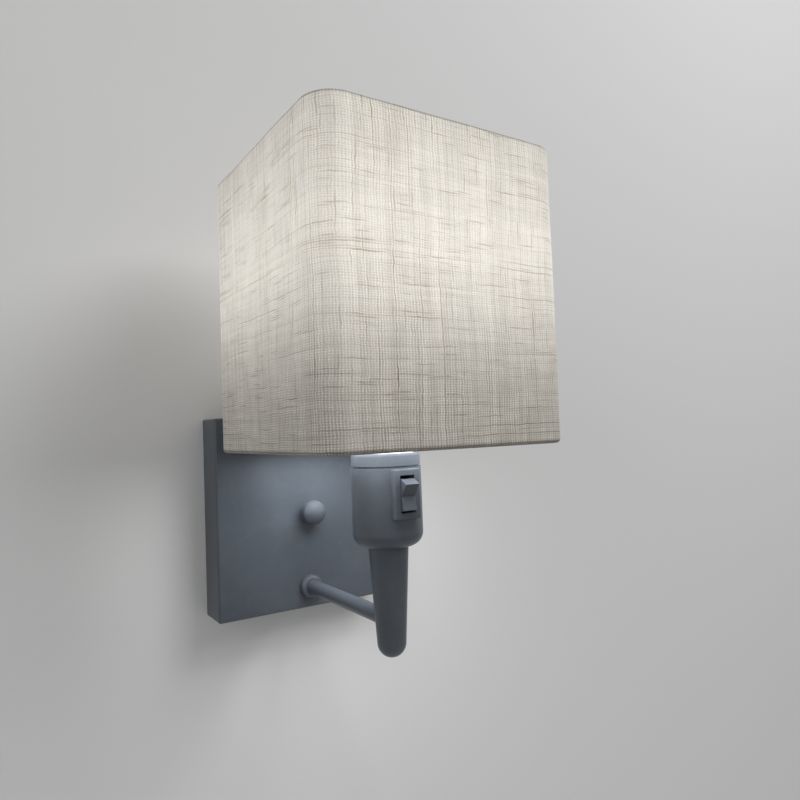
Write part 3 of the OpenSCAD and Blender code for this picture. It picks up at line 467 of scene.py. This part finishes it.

# The yarn's own colour with painted shade on the hems, then the lamp's light through it as painted glow,
# dimmer low down and in the hems.
lightness = 0.12 + 0.35 * patches + 0.80 * open_weave + 0.35 * tones + 0.50 * (fibre - 0.5)
yarn = lightness.between(dark_yarn, pale_yarn)
slubbed = (0.65 * slub).between(yarn, slub_brown)
# The rolled hems are painted darker as shade, where no light comes through the wire and the doubled cloth;
# the lower hem darkest.
top_hem_shaded = (0.3 * in_hem_high).between(slubbed, top_roll_shade)
(0.65 * in_hem_low).between(top_hem_shaded, low_roll_shade).into(shader, "Base Color")
grain = 0.20 * (patches - 0.5) + 0.24 * (fibre - 0.5) + 0.16 * tones
# Painted glow: the lamp's light through the cloth, fading with height and distance from the lamp, with
# painted shade low down and at the hems.
rise = (height - light_height) / half
falloff = (1 + rise * rise) ** -0.75 * (half / apart) ** 0.35
outside_hem_shade = (1 - 0.9 * in_hem_low) * (1 - 0.85 * in_hem_high)
glow = falloff * (0.24 + 0.76 * height.step(dim_below, bright_above)) * outside_hem_shade
through_yarn = 0.67 * glow * (0.79 + 0.20 * open_weave + grain) * (1 - 0.26 * slub)
through_holes = 0.19 * pinhole * (1.2 - glow)
strained = (0.6 * slub).between(lamp_warmth, slub_warmth)
(through_yarn + through_holes).between(no_light, strained).into(shader, "Emission Color")
(0.5 * slub + 0.3 * fibre - 0.7 * open_weave).bump(0.00025, 0.5).into(shader, "Normal")
shader.inputs["Emission Strength"].default_value = 1.0
shader.inputs["Roughness"].default_value = 0.92
shader.inputs["Specular IOR Level"].default_value = 0.2
shader.inputs["Sheen Weight"].default_value = 0.1
cloth_mesh.materials.append(linen)

lining_glow = 0.12
shadow_below = 0.028
lit_above = 0.128
thin_film = (0.70, 0.69, 0.65, 1)
thick_film = (0.77, 0.76, 0.72, 1)
lining, shader, place = new_finish("shade_lining")
film = place.noise(70, 3)
height = place.axis("Z")
apart = place.node("ShaderNodeVectorMath", {"operation": "DISTANCE"}, {0: place, 1: lamp_at}, 1)
film.step(0.3, 0.7).between(thin_film, thick_film).into(shader, "Base Color")
(0.45 + 0.2 * film).into(shader, "Roughness")
# The lining is painted with the lamp's glow, as emission that is weaker low down where painted shade falls.
shine = (half / apart) * (0.45 + 0.55 * height.step(shadow_below, lit_above)) * lining_glow
shine.between(no_light, lamp_warmth).into(shader, "Emission Color")
shader.inputs["Emission Strength"].default_value = 1.0
cloth_mesh.materials.append(lining)

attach(shade_cover, "shade")
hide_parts("shade_fabric")
flat_height = plain_column[2][-1] - plain_column[2][0]

# Bulb: opal plastic globe on a white body, with a rolled thread cap and a dark glass insulator.
# It screws into the holder and is alight, brightest at its crown.

globe_foot_z = 0.098
globe_crown_z = 0.135
foot_light = (0.62, 0.55, 0.43, 1)
crown_light = (1.0, 0.955, 0.86, 1)
thin_opal = (0.80, 0.79, 0.76, 1)
thick_opal = (0.86, 0.85, 0.82, 1)
globe, shader, place = new_finish("lit_opal_globe")
height = place.axis("Z")
haze = place.noise(120, 2)
brightness = height.step(globe_foot_z, globe_crown_z) * (0.9 + 0.2 * haze)
brightness.between(foot_light, crown_light).into(shader, "Emission Color")
haze.between(thin_opal, thick_opal).into(shader, "Base Color")
shader.inputs["Emission Strength"].default_value = 1.7
shader.inputs["Roughness"].default_value = 0.35
dress(globe, "bulb_globe")

dull_aluminium = (0.52, 0.52, 0.52, 1)
bright_aluminium = (0.68, 0.68, 0.67, 1)
rolled, shader, place = new_finish("rolled_aluminium")
streaks = place.noise(900, 3)
streaks.between(dull_aluminium, bright_aluminium).into(shader, "Base Color")
(0.22 + 0.2 * streaks).into(shader, "Roughness")
shader.inputs["Metallic"].default_value = 1.0
dress(rolled, "bulb_cap")

black_glass = (0.008, 0.008, 0.01, 1)
grey_glass = (0.02, 0.02, 0.024, 1)
dark_glass, shader, place = new_finish("dark_glass")
swirl = place.noise(600, 3)
swirl.between(black_glass, grey_glass).into(shader, "Base Color")
(0.12 + 0.15 * swirl).into(shader, "Roughness")
dress(dark_glass, "bulb_insulator")

# Wires: single copper cores in soft coloured insulation, from the block through arm and tail
# to the switch and the holder, and the green and yellow earth from the bracket to its tag.


def insulation(name, dark, light):
    """Soft plastic insulation with a faint drawn streak."""
    finish, shader, place = new_finish(name)
    streak = place.noise(800, 3)
    streak.step(0.3, 0.7).between(dark, light).into(shader, "Base Color")
    (0.38 + 0.2 * streak).into(shader, "Roughness")
    return finish


dark_brown = (0.085, 0.036, 0.014, 1)
light_brown = (0.13, 0.058, 0.026, 1)
dark_blue = (0.016, 0.06, 0.24, 1)
light_blue = (0.026, 0.085, 0.32, 1)
deep_black = (0.008, 0.008, 0.008, 1)
soft_black = (0.018, 0.018, 0.018, 1)
dress(insulation("brown_insulation", dark_brown, light_brown), "line_wire")
dress(insulation("blue_insulation", dark_blue, light_blue), "neutral_wire")
dress(insulation("black_insulation", deep_black, soft_black), "switched_wire")

band_rate = 1300
wire_green = (0.07, 0.27, 0.035, 1)
wire_yellow = (0.72, 0.56, 0.03, 1)
earth, shader, place = new_finish("green_yellow_insulation")
reach = place.node("ShaderNodeVectorMath", {"operation": "DOT_PRODUCT"}, {0: place, 1: (1, 0, -1)}, 1)
band = (reach * band_rate).through("SINE").step(0.2, 0.4)
streak = place.noise(800, 3)
band.between(wire_green, wire_yellow).into(shader, "Base Color")
(0.38 + 0.2 * streak).into(shader, "Roughness")
dress(earth, "earth_wire")

# Studio: a pale wall behind the plate, a pale floor below and soft lamps, none of them the object's.
# The wall shows from the front only, and lets light through from behind to the back of the plate.
# Two weak lamps just under the shade stand for the light that falls out of it on cup and plate.

wall_colour = (0.80, 0.80, 0.80, 1)
wall_y = 0.0004
wall_half = 3
floor_z = -0.7
floor_half = 4


def square(reach):
    """The four corners of a flat square, as far from its middle as its reach."""
    return [(-reach, -reach), (reach, -reach), (reach, reach), (-reach, reach)]


def stage_plane(name, corners):
    """A flat sheet that is no part of the object."""
    mesh = bpy.data.meshes.new(name)
    mesh.from_pydata(corners, [], [(0, 1, 2, 3)])
    sheet = bpy.data.objects.new(name, mesh)
    bpy.context.scene.collection.objects.link(sheet)
    return sheet


def seen_rays(tree):
    """The rays that show the background: from the camera, mirrored, or through glass."""
    rays = tree.nodes.new("ShaderNodeLightPath").outputs
    return Tone(rays["Is Camera Ray"]) + Tone(rays["Is Glossy Ray"]) + Tone(rays["Is Transmission Ray"])


wall = stage_plane("wall", [(x, wall_y, z) for x, z in square(wall_half)])
floor = stage_plane("floor", [(x, y, floor_z) for x, y in square(floor_half)])

plaster, shader, place = new_finish("pale_wall")
shader.inputs["Roughness"].default_value = 0.9
shader.inputs["Base Color"].default_value = wall_colour
behind = place.node("ShaderNodeNewGeometry", {}, {}, "Backfacing")
shown = seen_rays(plaster.node_tree) * (1 - behind)
clear = place.node("ShaderNodeBsdfTransparent", {}, {})
painted = Tone(shader.outputs["BSDF"])
mixed = shown.node("ShaderNodeMixShader", {}, {0: shown, 1: clear, 2: painted})
plaster.node_tree.links.new(mixed.socket, plaster.node_tree.nodes["Material Output"].inputs["Surface"])
wall.data.materials.append(plaster)

screed, shader, place = new_finish("pale_floor")
shader.inputs["Base Color"].default_value = wall_colour
shader.inputs["Roughness"].default_value = 0.9
floor.data.materials.append(screed)

world = bpy.data.worlds.new("studio")
bpy.context.scene.world = world
world.use_nodes = True
sky = world.node_tree.nodes["Background"]
sky.inputs["Color"].default_value = wall_colour
sky.inputs["Strength"].default_value = 0.3
shown = seen_rays(world.node_tree)
backdrop = shown.node("ShaderNodeBackground", {}, {"Color": wall_colour, "Strength": 0.75})
mixed = shown.node("ShaderNodeMixShader", {}, {0: shown, 1: Tone(sky.outputs["Background"]), 2: backdrop})
world.node_tree.links.new(mixed.socket, world.node_tree.nodes["World Output"].inputs["Surface"])


def soft_lamp(name, place, aim, width, power):
    """A square soft lamp at a place, turned to what it lights."""
    data = bpy.data.lights.new(name, "AREA")
    data.size = width
    data.energy = power
    lamp = bpy.data.objects.new(name, data)
    lamp.location = place
    lamp.rotation_euler = (Vector(aim) - Vector(place)).to_track_quat("-Z", "Y").to_euler()
    bpy.context.scene.collection.objects.link(lamp)
    return lamp


under_shade_z = 0.0385
soft_lamp("key", place=(0.7, -1.05, 1.0), aim=(0, -0.08, 0.05), width=0.8, power=10)
soft_lamp("fill", place=(-1.3, -0.7, 0.5), aim=(0, -0.08, 0.05), width=0.9, power=3)
soft_lamp("back_fill", place=(0.3, 1.2, 0.7), aim=(0, -0.05, 0.05), width=0.9, power=6)
for name, y, width, power in (("bulb_glow", -0.124, 0.062, 0.10), ("plate_glow", -0.070, 0.06, 0.13)):
    spill = soft_lamp(name, place=(0, y, under_shade_z), aim=(0, y, 0), width=width, power=power)
    spill.visible_glossy = False

# Camera where the photograph was taken from, close in front of the shade's near corner.
# Its place and turn come from a fit to edges and corners measured in the photograph.

eye = (-0.1755, -0.4055, 0.0504)
yaw, pitch, roll = -0.5769, 0.0428, 0.0370
focal_px = 651.8
view_px = 800
turned = Matrix.Rotation(yaw, 3, "Z") @ Matrix.Rotation(pitch, 3, "X") @ Matrix.Rotation(roll, 3, "Y")
right, ahead, above = turned.col
camera_data = bpy.data.cameras.new("camera")
camera_data.sensor_width = 36
camera_data.lens = camera_data.sensor_width * focal_px / view_px
camera_data.clip_start = 0.01
camera = bpy.data.objects.new("camera", camera_data)
axes = Matrix((right, above, -ahead)).transposed().to_4x4()
camera.matrix_world = Matrix.Translation(eye) @ axes
bpy.context.scene.collection.objects.link(camera)
bpy.context.scene.camera = camera
bpy.context.scene.view_settings.view_transform = "Standard"
